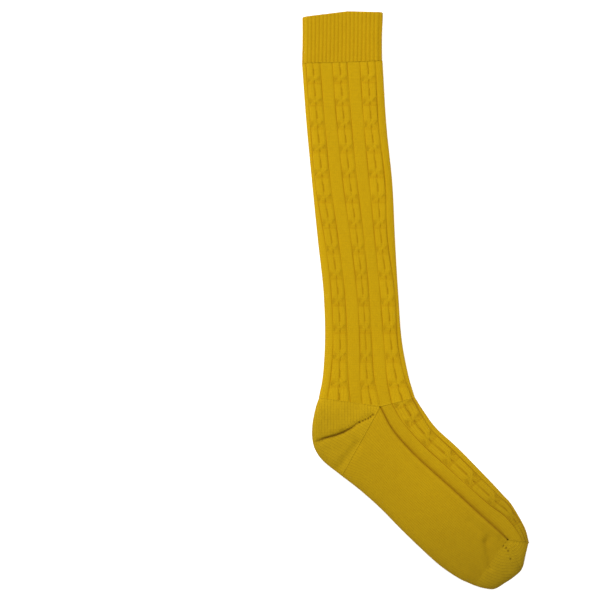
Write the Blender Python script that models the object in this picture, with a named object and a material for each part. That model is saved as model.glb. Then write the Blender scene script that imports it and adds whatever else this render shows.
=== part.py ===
"""One knee-high cable-knit sock lying flat: ribbed cuff, cabled leg, heel pocket, foot and toe pocket.

Metres. +X runs towards the instep side, +Y up the leg, +Z up from the surface that it lies on.
"""

import math

import bpy
import numpy as np

# Driving dimensions
CUFF_WIDTH = 0.0736
CUFF_HEIGHT = 0.0465
LEG_DROP = 0.3160
FOOT_LENGTH = 0.2272
FOOT_WIDTH = 0.0883
FOOT_FALL = 44.0
HOLLOW_HEIGHT = 0.0050
WALL = 0.0016
FOLD_REACH = 0.0080
CABLE_RISE = 0.0006
GROOVE_DEPTH = 0.0006
RIB_DEPTH = 0.0006
SEAM_RISE = 0.0005
PIECE_GAP = 0.0003
CORNER_CUT = 0.0012

# Knitting counts
REPEATS = 6
RIBS_PER_REPEAT = 7
CABLE_SHARE = 0.54
RINGS_PER_CROSSING = 3
INNER_RINGS_PER_CROSSING = 1
CROSSING_SHARE = 0.2
CUFF_SPANS = 3
HEEL_SPANS = 8
TOE_SPANS = 10
SOLE_COLUMNS = 20
FOLD_CROWDING = 1.5

# The fold lines of the flattened tube and the border between its back and front halves, ring by ring.
# Across is a share of the cuff's width from its back edge, down a share of the cuff's height.
CUFF_ROWS = np.array([
    # course, back (across, down), upper border, front, lower border
    (-1.90, 0.010, -0.891, 0.571, -1.000, 1.017, -0.984, 0.453, -0.940),
    (-0.80, 0.011, -0.465, 0.571, -0.485, 1.005, -0.505, 0.455, -0.485),
    (0.24, 0.005, 0.020, 0.565, 0.000, 1.006, -0.030, 0.449, 0.000),
])

# The same for the leg, with down a share of its drop from the cuff to the ankle corner.
LEG_ROWS = np.array([
    # course, back (across, down), upper border, front, lower border
    (0.24, 0.005, 0.003, 0.565, 0.000, 1.006, -0.004, 0.449, 0.000),
    (3.17, 0.066, 0.191, 0.625, 0.191, 1.058, 0.191, 0.510, 0.191),
    (5.46, 0.133, 0.354, 0.694, 0.354, 1.129, 0.354, 0.576, 0.354),
    (7.68, 0.204, 0.517, 0.777, 0.517, 1.163, 0.517, 0.648, 0.517),
    (9.81, 0.277, 0.677, 0.840, 0.677, 1.204, 0.677, 0.721, 0.677),
    (11.82, 0.289, 0.837, 0.879, 0.837, 1.265, 0.837, 0.733, 0.837),
    (12.69, 0.267, 0.910, 0.898, 0.910, 1.329, 0.910, 0.767, 0.910),
    (13.85, 0.216, 0.975, 0.981, 1.000, 1.410, 0.974, 0.850, 0.992),
])

# The foot, measured from the ankle corner: along is a share of its length, across one of its width,
# towards the sole. Its first front point and lower border are the leg's last.
FOOT_ROWS = np.array([
    # course, back (along, across), upper border, front, lower border
    (13.85, 0.083, 0.799, 0.000, 0.000, 0.075, -0.316, -0.039, 0.053),
    (15.00, 0.185, 0.771, 0.108, 0.086, 0.142, -0.275, 0.164, 0.258),
    (16.00, 0.288, 0.761, 0.230, 0.110, 0.222, -0.240, 0.256, 0.270),
    (17.00, 0.396, 0.769, 0.340, 0.104, 0.344, -0.247, 0.370, 0.271),
    (18.00, 0.503, 0.770, 0.454, 0.093, 0.473, -0.238, 0.489, 0.286),
    (19.00, 0.623, 0.759, 0.578, 0.085, 0.594, -0.224, 0.595, 0.305),
    (20.00, 0.723, 0.711, 0.684, 0.075, 0.687, -0.194, 0.680, 0.360),
    (20.80, 0.775, 0.662, 0.740, 0.074, 0.812, -0.059, 0.735, 0.430),
])

# The fold round the heel and the toe, between the ends that each shares with its neighbours.
HEEL_ROWS = np.array([
    # share of the way round, along, across
    (0.20, -0.183, 0.483),
    (0.35, -0.152, 0.608),
    (0.50, -0.114, 0.718),
    (0.65, -0.071, 0.792),
    (0.80, -0.018, 0.821),
])
TOE_ROWS = np.array([
    # share of the way round, along, across
    (0.20, 0.812, 0.612),
    (0.35, 0.844, 0.545),
    (0.50, 0.858, 0.427),
    (0.62, 0.868, 0.304),
    (0.74, 0.868, 0.190),
    (0.87, 0.837, 0.050),
])

# Where the grooves beside the cables cross each ring of the upper layer.
GROOVE_ROWS = np.array([
    # course, first cable (start, end) and second start from back to border, third from border to front
    (-1.90, 0.083, 0.405, 0.678, 0.364, 0.793),
    (0.24, 0.081, 0.398, 0.669, 0.360, 0.801),
    (3.17, 0.078, 0.407, 0.678, 0.358, 0.780),
    (5.46, 0.064, 0.405, 0.684, 0.348, 0.801),
    (7.68, 0.145, 0.441, 0.713, 0.352, 0.766),
    (9.81, 0.166, 0.463, 0.736, 0.384, 0.901),
    (11.82, 0.166, 0.478, 0.743, 0.399, 0.864),
    (13.85, 0.134, 0.510, 0.703, 0.330, 0.930),
    (16.00, 0.134, 0.510, 0.703, 0.370, 0.870),
    (18.00, 0.134, 0.510, 0.703, 0.390, 0.860),
    (19.00, 0.134, 0.510, 0.703, 0.440, 0.880),
    (20.80, 0.134, 0.510, 0.703, 0.700, 0.970),
])

# One repeat of the pattern. Above 0 a height is a share of the cable's rise, below 0 of the groove's depth.
REPEAT_ROWS = np.array([
    # share of the repeat, height between crossings, height at a crossing
    (0.00, -1.0, -1.0),
    (0.07, 0.4, -0.3),
    (0.18, 1.0, 0.9),
    (0.27, -0.3, 1.0),
    (0.36, 1.0, 0.9),
    (0.47, 0.4, -0.3),
    (0.54, -1.0, -1.0),
    (0.62, 0.0, 0.0),
    (0.92, 0.0, 0.0),
])

# Long soft dents in the upper layer: the heel's fold along its gore, and the crease before the toes.
DENT_WIDTH = 0.0045
DENT_ROWS = np.array([
    # start (along, across), end, depth as a share of the hollow's height
    (-0.080, 0.700, 0.020, 0.190, 0.14),
    (0.700, 0.235, 0.775, 0.400, 0.14),
])

YARN_ROUGHNESS = 0.9
YARN_COLOURS = {
    "cuff": (0.521, 0.310, 0.006, 1.0),
    "leg": (0.539, 0.323, 0.006, 1.0),
    "heel": (0.456, 0.287, 0.008, 1.0),
    "foot": (0.500, 0.300, 0.007, 1.0),
    "toe": (0.440, 0.275, 0.008, 1.0),
}

HALF_HEIGHT = WALL + HOLLOW_HEIGHT / 2
HALF_GAP = PIECE_GAP / 2
SOLE_END = CABLE_SHARE + 1
SOLE_START = SOLE_END - REPEATS / 2
FIRST_COURSE = LEG_ROWS[0, 0]
ANKLE_COURSE = LEG_ROWS[-1, 0]
TOE_COURSE = FOOT_ROWS[-1, 0]
SHORTEST_COURSE = 0.0125


def clear_scene():
    """Remove every object that the file starts with."""
    for obj in list(bpy.data.objects):
        bpy.data.objects.remove(obj, do_unlink=True)


def knit_material(piece):
    """A matt yarn finish for one piece."""
    material = bpy.data.materials.new(piece + " yarn")
    material.use_nodes = True
    shader = material.node_tree.nodes["Principled BSDF"]
    shader.inputs["Base Color"].default_value = YARN_COLOURS[piece]
    shader.inputs["Roughness"].default_value = YARN_ROUGHNESS
    return material


def length(vectors):
    """Lengths of a row of vectors."""
    return np.linalg.norm(vectors, axis=-1)


def leg_points(rows, drop, top):
    """Stations of the cuff or leg in metres, from the ankle corner. top is the height of share 0."""
    shares = rows[:, 1:].reshape(len(rows), 4, 2)
    x = (shares[..., 0] - LEG_ROWS[-1, 3]) * CUFF_WIDTH
    y = top - shares[..., 1] * drop
    return np.stack([x, y], axis=-1)


def foot_points(shares):
    """Shares along and across the foot in metres, from the ankle corner."""
    fall = math.radians(FOOT_FALL)
    along = shares[..., 0] * FOOT_LENGTH
    across = shares[..., 1] * FOOT_WIDTH
    x = along * math.cos(fall) - across * math.sin(fall)
    y = -along * math.sin(fall) - across * math.cos(fall)
    return np.stack([x, y], axis=-1)


def smooth(keys, values, at):
    """Read a smooth curve through rows of values at the given keys."""
    flat = values.reshape(len(keys), -1)
    slopes = np.gradient(flat, keys, axis=0)
    index = np.clip(np.searchsorted(keys, at, side="right") - 1, 0, len(keys) - 2)
    step = (keys[index + 1] - keys[index])[:, None]
    t = (at - keys[index])[:, None] / step
    start = (1 + 2 * t) * (1 - t) ** 2 * flat[index] + t * (1 - t) ** 2 * step * slopes[index]
    end = t ** 2 * (3 - 2 * t) * flat[index + 1] + t ** 2 * (t - 1) * step * slopes[index + 1]
    return (start + end).reshape((len(at),) + values.shape[1:])


def broken_line(at, keys, values):
    """Read one broken line for each ring: rows of keys and of values, joined by straight stretches."""
    result = np.repeat(values[:, :1], at.shape[1], axis=1)
    for i in range(keys.shape[1] - 1):
        share = np.clip((at - keys[:, i:i + 1]) / (keys[:, i + 1] - keys[:, i])[:, None], 0, 1)
        result = result + share * (values[:, i + 1] - values[:, i])[:, None]
    return result


def fold_curve(inset):
    """A quarter ellipse from the folded edge to the flat layer: distance over the cloth, inward, up."""
    turn = np.linspace(0, math.pi / 2, 65)
    inward = (FOLD_REACH - inset) * (1 - np.cos(turn))
    up = (HALF_HEIGHT - inset) * np.sin(turn)
    over = np.concatenate([[0], np.cumsum(np.hypot(np.diff(inward), np.diff(up)))])
    return over, inward, up


def over_cloth(flat, width, curve):
    """Turn flat distances from the back fold into distances over the cloth."""
    over, inward, up = curve
    spare = over[-1] - inward[-1]
    near = np.where(flat < inward[-1], np.interp(flat, inward, over), flat + spare)
    from_front = width - flat
    far = np.where(from_front < inward[-1], np.interp(from_front, inward, over), from_front + spare)
    return np.where(flat < width / 2, near, width + 2 * spare - far)


def flat_and_up(over_distance, width, curve):
    """Turn distances over the cloth back into flat distances, with the height above the fold line."""
    over, inward, up = curve
    spare = over[-1] - inward[-1]
    from_front = width + 2 * spare - over_distance
    nearest = np.minimum(over_distance, from_front)
    flat = np.where(nearest < over[-1], np.interp(nearest, over, inward), nearest - spare)
    flat = np.where(over_distance < from_front, flat, width - flat)
    return flat, np.interp(nearest, over, up)


def walk(back, corner, front, distance):
    """Points at a distance along the broken line from the back fold by a corner to the front fold."""
    first = length(corner - back)[:, None]
    second = length(front - corner)[:, None]
    near = np.minimum(distance / first, 1)[..., None]
    far = (np.maximum(distance - first, 0) / second)[..., None]
    return back[:, None] + near * (corner - back)[:, None] + far * (front - corner)[:, None]


def lay(back, corner, front, mark_keys, marks, keys, inset, side):
    """One layer of cloth from the back fold to the front fold. side is 1 for the upper, -1 for the lower.

    marks are flat distances of the pattern positions mark_keys, and keys the positions wanted.
    """
    curve = fold_curve(inset)
    width = (length(corner - back) + length(front - corner) - 2 * inset)[:, None]
    over_marks = over_cloth(np.clip(marks - inset, 0, width), width, curve)
    over_distance = broken_line(keys, mark_keys, over_marks)
    flat, up = flat_and_up(over_distance, width, curve)
    points = walk(back, corner, front, flat + inset)
    return np.concatenate([points, (HALF_HEIGHT + side * up)[..., None]], axis=-1)


def dents(points):
    """How far the upper layer sinks along each long soft dent."""
    sink = np.zeros(points.shape[:-1])
    for row in DENT_ROWS:
        start, end = foot_points(row[:4].reshape(2, 2))
        run = end - start
        share = np.clip(((points[..., :2] - start) @ run) / (run @ run), 0, 1)
        away = length(points[..., :2] - start - share[..., None] * run)
        sink = sink + row[4] * HOLLOW_HEIGHT * np.exp(-(away / DENT_WIDTH) ** 2)
    upper = np.clip(points[..., 2] / HALF_HEIGHT - 1, 0, 1)
    return sink * upper


def fold_keys(stations, grooves, plain_sole):
    """Pattern positions of the back fold and of the front fold, ring by ring."""
    sole = length(stations[:, 1] - stations[:, 0])
    hidden = length(stations[:, 3] - stations[:, 0])
    if plain_sole:
        back_key = SOLE_START + (SOLE_END - SOLE_START) * hidden / (hidden + sole)
    else:
        back_key = -grooves[:, 0] * SOLE_END / (1 - grooves[:, 0])
    return back_key, SOLE_END + 1 / grooves[:, 4]


def halves(low, fold, high, columns):
    """Columns from a low to a high edge that crowd towards the fold between them, without the last."""
    share = np.linspace(0, 1, columns // 2, endpoint=False)
    before = fold[:, None] + (low - fold)[:, None] * (1 - share) ** FOLD_CROWDING
    after = fold[:, None] + (high - fold)[:, None] * share ** FOLD_CROWDING
    return np.concatenate([before, after], axis=1)


def pattern_columns(first, last, front_key):
    """Columns on every edge of the pattern between two positions, with one on the front fold."""
    cable_end = SOLE_END + 1
    places = (np.arange(math.floor(first), last)[:, None] + REPEAT_ROWS[:, 0]).ravel()
    places = places[(places > first - 1e-6) & (places < last - 1e-6)]
    before = places[places < cable_end + 1e-6]
    after = places[places > cable_end + REPEAT_ROWS[-1, 0] - REPEAT_ROWS[-2, 0]]
    rings = np.ones((len(front_key), 1))
    slope = (cable_end + front_key) / 2
    return np.concatenate([rings * before, slope[:, None], front_key[:, None], rings * after], axis=1)


def tube_rings(stations, grooves, keys, inset, plain_sole):
    """Whole rings of a flattened tube at the pattern positions keys, in repeats from the back."""
    back, border, front, under = [stations[:, i] for i in range(4)]
    sole = length(border - back)
    instep = length(front - border)
    hidden = length(under - back)
    rings = np.ones(len(stations))
    back_key, front_key = fold_keys(stations, grooves, plain_sole)
    if plain_sole:
        mark_keys = [back_key, SOLE_END * rings]
        marks = [0 * sole, sole]
    else:
        mark_keys = [back_key, 0 * rings, CABLE_SHARE * rings, rings, SOLE_END * rings]
        marks = [0 * sole, grooves[:, 0] * sole, grooves[:, 1] * sole, grooves[:, 2] * sole, sole]
    mark_keys = np.stack(mark_keys + [2 * rings, (SOLE_END + 1) * rings, front_key], axis=1)
    marks = np.stack(marks + [sole + grooves[:, 3] * instep, sole + grooves[:, 4] * instep, sole + instep], axis=1)
    lower_keys = np.stack([front_key, (SOLE_START + REPEATS) * rings, back_key + REPEATS], axis=1)
    lower_marks = np.stack([hidden + length(front - under), hidden, 0 * sole], axis=1)
    turned = back_key[:, None] + (keys - back_key[:, None]) % REPEATS
    upper = lay(back, border, front, mark_keys, marks, turned, inset, 1)
    lower = lay(back, under, front, lower_keys, lower_marks, turned, inset, -1)
    return np.where((turned < front_key[:, None])[..., None], upper, lower)


def pocket_rings(back, upper_corner, lower_corner, inset):
    """Rings of a heel or toe pocket, fanned out from one corner of each layer round the fold."""
    upper = length(upper_corner - back)
    lower = length(lower_corner - back)
    fold_share = lower / (lower + upper)
    keys = halves(0 * upper, fold_share, 0 * upper + 1, SOLE_COLUMNS)
    keys = np.concatenate([keys, np.ones((len(back), 1))], axis=1)
    upper_keys = np.stack([fold_share, np.ones(len(back))], axis=1)
    upper_marks = np.stack([0 * upper, upper - CORNER_CUT], axis=1)
    lower_keys = np.stack([np.zeros(len(back)), fold_share], axis=1)
    lower_marks = np.stack([lower - CORNER_CUT, 0 * lower], axis=1)
    beyond_upper = upper_corner + (upper_corner - back)
    beyond_lower = lower_corner + (lower_corner - back)
    above = lay(back, upper_corner, beyond_upper, upper_keys, upper_marks, keys, inset, 1)
    below = lay(back, lower_corner, beyond_lower, lower_keys, lower_marks, keys, inset, -1)
    return np.where((keys > fold_share[:, None])[..., None], above, below)


def facing(points, closed):
    """Directions in which a grid of points faces, outwards from the sock."""
    if closed:
        round_step = np.roll(points, -1, axis=1) - np.roll(points, 1, axis=1)
    else:
        round_step = np.gradient(points, axis=1)
    down_step = np.gradient(points, axis=0)
    normal = np.cross(down_step, round_step)
    return normal / length(normal)[..., None]


def raise_cloth(points, height, closed):
    """Lift the outside of the cloth by a height, and press what it lies on flat."""
    lifted = points + facing(points, closed) * height[..., None]
    lifted[..., 2] = np.maximum(lifted[..., 2] - dents(points), 0)
    return lifted


def shell_mesh(name, outer, inner, closed):
    """Join an outer and an inner grid of points into one closed wall."""
    columns = outer.shape[1]
    last = columns if closed else columns - 1
    vertices = np.concatenate([outer.reshape(-1, 3), inner.reshape(-1, 3)])
    start = outer.shape[0] * columns
    faces = []
    for i in range(outer.shape[0] - 1):
        for j in range(last):
            a = i * columns + j
            b = i * columns + (j + 1) % columns
            faces.append((a, a + columns, b + columns, b))
    for i in range(inner.shape[0] - 1):
        for j in range(last):
            a = start + i * columns + j
            b = start + i * columns + (j + 1) % columns
            faces.append((a, b, b + columns, a + columns))
    outer_end = (outer.shape[0] - 1) * columns
    inner_end = start + (inner.shape[0] - 1) * columns
    for j in range(last):
        k = (j + 1) % columns
        faces.append((j, k, start + k, start + j))
        faces.append((outer_end + k, outer_end + j, inner_end + j, inner_end + k))
    if not closed:
        for i in range(outer.shape[0] - 1):
            a = i * columns
            b = a + columns - 1
            faces.append((a + columns, a, start + a, start + a + columns))
            faces.append((b, b + columns, start + b + columns, start + b))
    mesh = bpy.data.meshes.new(name)
    mesh.from_pydata(vertices.tolist(), [], faces)
    mesh.polygons.foreach_set("use_smooth", [True] * len(mesh.polygons))
    return mesh


def pattern_height(courses, keys):
    """Height of the cables and grooves over the plain knitting, for every ring and pattern position."""
    away = np.abs(courses - np.round(courses))
    crossing = np.clip(1 - away / CROSSING_SHARE, 0, 1)[:, None]
    place = keys % 1
    closed = np.vstack([REPEAT_ROWS, [1.0, REPEAT_ROWS[0, 1], REPEAT_ROWS[0, 2]]])
    between = np.interp(place, closed[:, 0], closed[:, 1])
    at_crossing = np.interp(place, closed[:, 0], closed[:, 2])
    height = between + crossing * (at_crossing - between)
    return np.where(height > 0, height * CABLE_RISE, height * GROOVE_DEPTH)


def courses_between(first, last, rings_per_crossing):
    """Courses of the rings from one end of a piece to the other, on the crossings where they fall."""
    trim = HALF_GAP / SHORTEST_COURSE
    step = 1 / rings_per_crossing
    count = np.arange(math.ceil((first + step / 2) / step), (last - step / 2) / step)
    return np.concatenate([[first + trim], count * step, [last - trim]])


def make_cuff():
    """The ribbed cuff: a tube with an even row of ribs round it."""
    stations = leg_points(CUFF_ROWS, CUFF_HEIGHT, LEG_DROP)
    trim = HALF_GAP / SHORTEST_COURSE
    courses = np.linspace(CUFF_ROWS[0, 0], FIRST_COURSE - trim, CUFF_SPANS + 1)
    rings = smooth(CUFF_ROWS[:, 0], stations, courses)
    grooves = smooth(GROOVE_ROWS[:, 0], GROOVE_ROWS[:, 1:], courses)
    half_ribs = np.arange(2 * REPEATS * RIBS_PER_REPEAT)[None, :]
    keys = half_ribs / (2 * RIBS_PER_REPEAT)
    outer = tube_rings(rings, grooves, keys, 0, False)
    inner = tube_rings(rings, grooves, keys, WALL, False)
    height = np.repeat(-RIB_DEPTH * (half_ribs % 2), len(courses), axis=0)
    return shell_mesh("cuff", raise_cloth(outer, height, True), inner, True)


def make_leg():
    """The cabled leg: a tube from the cuff down to the heel and the instep."""
    stations = leg_points(LEG_ROWS, LEG_DROP, LEG_DROP)
    walls = []
    for rings_per_crossing, inset in ((RINGS_PER_CROSSING, 0), (INNER_RINGS_PER_CROSSING, WALL)):
        courses = courses_between(FIRST_COURSE, ANKLE_COURSE, rings_per_crossing)
        rings = smooth(LEG_ROWS[:, 0], stations, courses)
        grooves = smooth(GROOVE_ROWS[:, 0], GROOVE_ROWS[:, 1:], courses)
        back_key, front_key = fold_keys(rings, grooves, False)
        keys = pattern_columns(0, REPEATS, front_key)
        last_rib = keys[:, -1:]
        keys = np.concatenate([keys[:, :-1], REPEATS + back_key[:, None], last_rib], axis=1)
        walls.append((tube_rings(rings, grooves, keys, inset, False), pattern_height(courses, keys)))
    return shell_mesh("leg", raise_cloth(*walls[0], True), walls[1][0], True)


def foot_stations():
    """The foot's stations, with the two points that it shares with the leg."""
    stations = foot_points(FOOT_ROWS[:, 1:].reshape(len(FOOT_ROWS), 4, 2))
    ankle = leg_points(LEG_ROWS, LEG_DROP, LEG_DROP)[-1]
    stations[0, 1:] = ankle[1:]
    return stations


def make_foot():
    """The foot: a tube with a plain sole and a cabled instep."""
    stations = foot_stations()
    ends = SOLE_START + REPEATS, SOLE_END + REPEATS
    walls = []
    for rings_per_crossing, inset in ((RINGS_PER_CROSSING, 0), (INNER_RINGS_PER_CROSSING, WALL)):
        courses = courses_between(ANKLE_COURSE, TOE_COURSE, rings_per_crossing)
        rings = smooth(FOOT_ROWS[:, 0], stations, courses)
        grooves = smooth(GROOVE_ROWS[:, 0], GROOVE_ROWS[:, 1:], courses)
        back_key, front_key = fold_keys(rings, grooves, True)
        instep = pattern_columns(SOLE_END, ends[0], front_key)
        sole = halves(ends[0] + 0 * back_key, REPEATS + back_key, ends[1] + 0 * back_key, SOLE_COLUMNS)
        height = np.concatenate([pattern_height(courses, instep), 0 * sole], axis=1)
        height[:, instep.shape[1]] = -GROOVE_DEPTH
        keys = np.concatenate([instep, sole], axis=1)
        walls.append((tube_rings(rings, grooves, keys, inset, True), height))
    return shell_mesh("foot", raise_cloth(*walls[0], True), walls[1][0], True)


def pocket_corner(corner, first, last):
    """Draw a pocket's corner in, so that its edges keep clear of the pieces beside it."""
    to_first = (first - corner) / length(first - corner)
    to_last = (last - corner) / length(last - corner)
    middle = to_first + to_last
    sine = math.sqrt((1 - to_first @ to_last) / 2)
    return corner + middle / length(middle) * HALF_GAP / sine


def make_pocket(name, rows, first, last, upper_corner, lower_corner, spans, seam_rise):
    """A heel or toe pocket, fanned from its two corners round a fold that runs from first to last."""
    shares = np.concatenate([[0], rows[:, 0], [1]])
    fold = np.concatenate([[first], foot_points(rows[:, 1:]), [last]])
    trim = HALF_GAP / length(np.diff(fold, axis=0)).sum()
    turns = np.linspace(trim, 1 - trim, spans + 1)
    back = smooth(shares, fold, turns)
    upper = pocket_corner(upper_corner, first, last)
    lower = pocket_corner(lower_corner, first, last)
    outer = pocket_rings(back, upper, lower, 0)
    inner = pocket_rings(back, upper, lower, WALL)
    height = np.zeros(outer.shape[:2])
    height[-1] = seam_rise
    return shell_mesh(name, raise_cloth(outer, height, False), inner, False)


def make_heel():
    """The heel pocket, between the leg's back half and the sole."""
    first = leg_points(LEG_ROWS, LEG_DROP, LEG_DROP)[-1, 0]
    stations = foot_stations()
    last = stations[0, 0]
    return make_pocket("heel", HEEL_ROWS, first, last, stations[0, 1], stations[0, 3], HEEL_SPANS, 0)


def make_toe():
    """The toe pocket, from the sole's end round the tip to the seam across the instep's end."""
    end = foot_stations()[-1]
    return make_pocket("toe", TOE_ROWS, end[0], end[2], end[1], end[3], TOE_SPANS, SEAM_RISE)


def centre_meshes(meshes):
    """Put the middle of the whole sock over the origin, and its underside on the ground."""
    low = np.full(3, np.inf)
    high = np.full(3, -np.inf)
    for mesh in meshes:
        points = np.array([vertex.co for vertex in mesh.vertices])
        low = np.minimum(low, points.min(axis=0))
        high = np.maximum(high, points.max(axis=0))
    shift = -(low + high) / 2
    shift[2] = -low[2]
    for mesh in meshes:
        for vertex in mesh.vertices:
            vertex.co = np.array(vertex.co) + shift


def main():
    clear_scene()
    collection = bpy.data.collections.new("Cable knit sock")
    bpy.context.scene.collection.children.link(collection)
    meshes = [make_cuff(), make_leg(), make_heel(), make_foot(), make_toe()]
    centre_meshes(meshes)
    for mesh in meshes:
        obj = bpy.data.objects.new(mesh.name, mesh)
        mesh.materials.append(knit_material(mesh.name))
        collection.objects.link(obj)


main()
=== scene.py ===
# %% [markdown]
# # A knee-high cable-knit sock
#
# One long sock lies flat on its side. It is knitted round and round: a ribbed cuff, a leg of eighty-four
# wales with six cables, a turned heel, a foot with a plain, finer sole, and a toe. This lesson makes the
# dressed model over a packed CAD model. Each piece of cloth is a surface worked out with numpy on a grid
# of two numbers: the place round the sock, and the place down it. A simulation of the cloth would let it
# slip away from the outline of the real sock, so the folds are drawn instead.

# %% Load the packed model as a fixed frame
import math

import bpy
import numpy as np
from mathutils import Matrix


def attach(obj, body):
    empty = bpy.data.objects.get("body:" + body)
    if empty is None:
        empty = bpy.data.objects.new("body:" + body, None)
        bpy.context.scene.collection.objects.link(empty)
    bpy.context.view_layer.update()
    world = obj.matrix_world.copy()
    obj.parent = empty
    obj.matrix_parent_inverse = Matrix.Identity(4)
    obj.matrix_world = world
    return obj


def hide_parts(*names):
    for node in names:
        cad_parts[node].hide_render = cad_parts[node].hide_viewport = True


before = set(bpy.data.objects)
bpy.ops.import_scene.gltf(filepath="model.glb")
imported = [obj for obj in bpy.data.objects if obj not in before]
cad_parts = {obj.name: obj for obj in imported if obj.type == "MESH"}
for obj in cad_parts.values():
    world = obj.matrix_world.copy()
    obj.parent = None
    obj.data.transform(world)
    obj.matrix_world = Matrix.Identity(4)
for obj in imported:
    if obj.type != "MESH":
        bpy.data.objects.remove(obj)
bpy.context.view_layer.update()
print("CAD nodes:", ", ".join(sorted(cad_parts)))

# %% [markdown]
# ## Camera
#
# The sock is seen straight from above, as laid out for a shop's picture. A long lens far away keeps both
# ends of the sock the same size. The frame is wider than the sock and lies off its middle.

# %% Look straight down
FRAME_SIDE = 0.552
FRAME_MIDDLE = (-0.1062, 0.0004)
CAMERA_HEIGHT = 2.4
SENSOR = 36.0

eye = bpy.data.cameras.new("overhead_camera")
eye.sensor_width = SENSOR
eye.lens = SENSOR * CAMERA_HEIGHT / FRAME_SIDE
camera = bpy.data.objects.new("overhead_camera", eye)
camera.location = (*FRAME_MIDDLE, CAMERA_HEIGHT)
bpy.context.scene.collection.objects.link(camera)
bpy.context.scene.camera = camera
print("lens:", round(eye.lens, 1), "mm")

# %% [markdown]
# ## Studio
#
# The floor is plain and pale, and the light is soft and comes from everywhere above, a little stronger
# from the upper left. Large lamps close to the floor would make hot spots, so they hang high. A shop's
# picture has almost no shadow, so the floor also glows a little, as a lit table does.

# %% Floor, lamps and sky
FLOOR_SIDE = 8.0
FLOOR_LEVEL = -0.0004
FLOOR_WHITE = (0.93, 0.93, 0.93, 1.0)
FLOOR_GLOW = 0.35
FLOOR_ROUGHNESS = 0.9
LAMPS = [
    # name, place, side of the square lamp, power in watts
    ("soft_overhead", (0.0, 0.0, 3.0), 2.5, 70.0),
    ("key_upper_left", (-1.5, 2.3, 1.7), 1.0, 80.0),
]
SKY_STRENGTH = 0.42


def aim(obj, target):
    """Turn a lamp so that it shines from its place to a target."""
    way = np.array(target) - np.array(obj.location)
    turn = math.atan2(way[1], way[0])
    dip = math.atan2(math.hypot(way[0], way[1]), -way[2])
    obj.rotation_euler = (dip, 0.0, turn - math.pi / 2)


half_floor = FLOOR_SIDE / 2
corners = [(-1, -1), (1, -1), (1, 1), (-1, 1)]
floor_mesh = bpy.data.meshes.new("floor")
floor_points = [(x * half_floor, y * half_floor, FLOOR_LEVEL) for x, y in corners]
floor_mesh.from_pydata(floor_points, [], [(0, 1, 2, 3)])
floor = bpy.data.objects.new("floor", floor_mesh)
bpy.context.scene.collection.objects.link(floor)
floor_paint = bpy.data.materials.new("white floor")
floor_paint.use_nodes = True
paint = floor_paint.node_tree.nodes["Principled BSDF"].inputs
paint["Base Color"].default_value = FLOOR_WHITE
paint["Roughness"].default_value = FLOOR_ROUGHNESS
paint["Emission Color"].default_value = FLOOR_WHITE
paint["Emission Strength"].default_value = FLOOR_GLOW
floor_mesh.materials.append(floor_paint)

for name, place, side, power in LAMPS:
    lamp = bpy.data.lights.new(name, "AREA")
    lamp.shape = "SQUARE"
    lamp.size = side
    lamp.energy = power
    lamp_object = bpy.data.objects.new(name, lamp)
    lamp_object.location = place
    aim(lamp_object, (0.0, 0.0, 0.0))
    bpy.context.scene.collection.objects.link(lamp_object)

sky = bpy.data.worlds.new("pale sky")
sky.use_nodes = True
sky.node_tree.nodes["Background"].inputs["Color"].default_value = (1.0, 1.0, 1.0, 1.0)
sky.node_tree.nodes["Background"].inputs["Strength"].default_value = SKY_STRENGTH
bpy.context.scene.world = sky
bpy.context.scene.view_settings.view_transform = "Standard"
print("lamps:", [row[0] for row in LAMPS])

# %% [markdown]
# ## Where the cloth lies
#
# A sock lying on its side is a flattened tube. Four lines run down it: the back fold, the upper border
# between the back half and the front half of the knitting, the front fold, and the lower border on the
# hidden side. These tables give the lines as shares of the sock's own sizes, row by row down the cables,
# so the dressed cloth follows the same lines as the CAD solids.

# %% Sizes and lines of the sock
CUFF_WIDTH = 0.0736
CUFF_HEIGHT = 0.0465
LEG_DROP = 0.3160
FOOT_LENGTH = 0.2272
FOOT_WIDTH = 0.0883
FOOT_FALL = math.radians(44.0)
HALF_HEIGHT = 0.0041
FOLD_REACH = 0.0080
WALL = 0.0016
PIECE_GAP = 0.000005
LYING_HEIGHT = 0.0003
ANKLE_CORNER = np.array([-0.03248, -0.09722])

CUFF_ROWS = np.array([
    # course, back (across, down), upper border, front, lower border
    (-1.90, 0.010, -0.891, 0.571, -1.000, 1.017, -0.984, 0.453, -0.940),
    (-0.80, 0.011, -0.465, 0.571, -0.485, 1.005, -0.505, 0.455, -0.485),
    (0.24, 0.005, 0.020, 0.565, 0.000, 1.006, -0.030, 0.449, 0.000),
])
LEG_ROWS = np.array([
    # course, back (across, down), upper border, front, lower border
    (0.24, 0.005, 0.003, 0.565, 0.000, 1.006, -0.004, 0.449, 0.000),
    (3.17, 0.066, 0.191, 0.625, 0.191, 1.058, 0.191, 0.510, 0.191),
    (5.46, 0.133, 0.354, 0.694, 0.354, 1.129, 0.354, 0.576, 0.354),
    (7.68, 0.204, 0.517, 0.777, 0.517, 1.163, 0.517, 0.648, 0.517),
    (9.81, 0.277, 0.677, 0.840, 0.677, 1.204, 0.677, 0.721, 0.677),
    (11.82, 0.289, 0.837, 0.879, 0.837, 1.265, 0.837, 0.733, 0.837),
    (12.69, 0.267, 0.910, 0.898, 0.910, 1.329, 0.910, 0.767, 0.910),
    (13.85, 0.216, 0.975, 0.981, 1.000, 1.410, 0.974, 0.850, 0.992),
])
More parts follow.
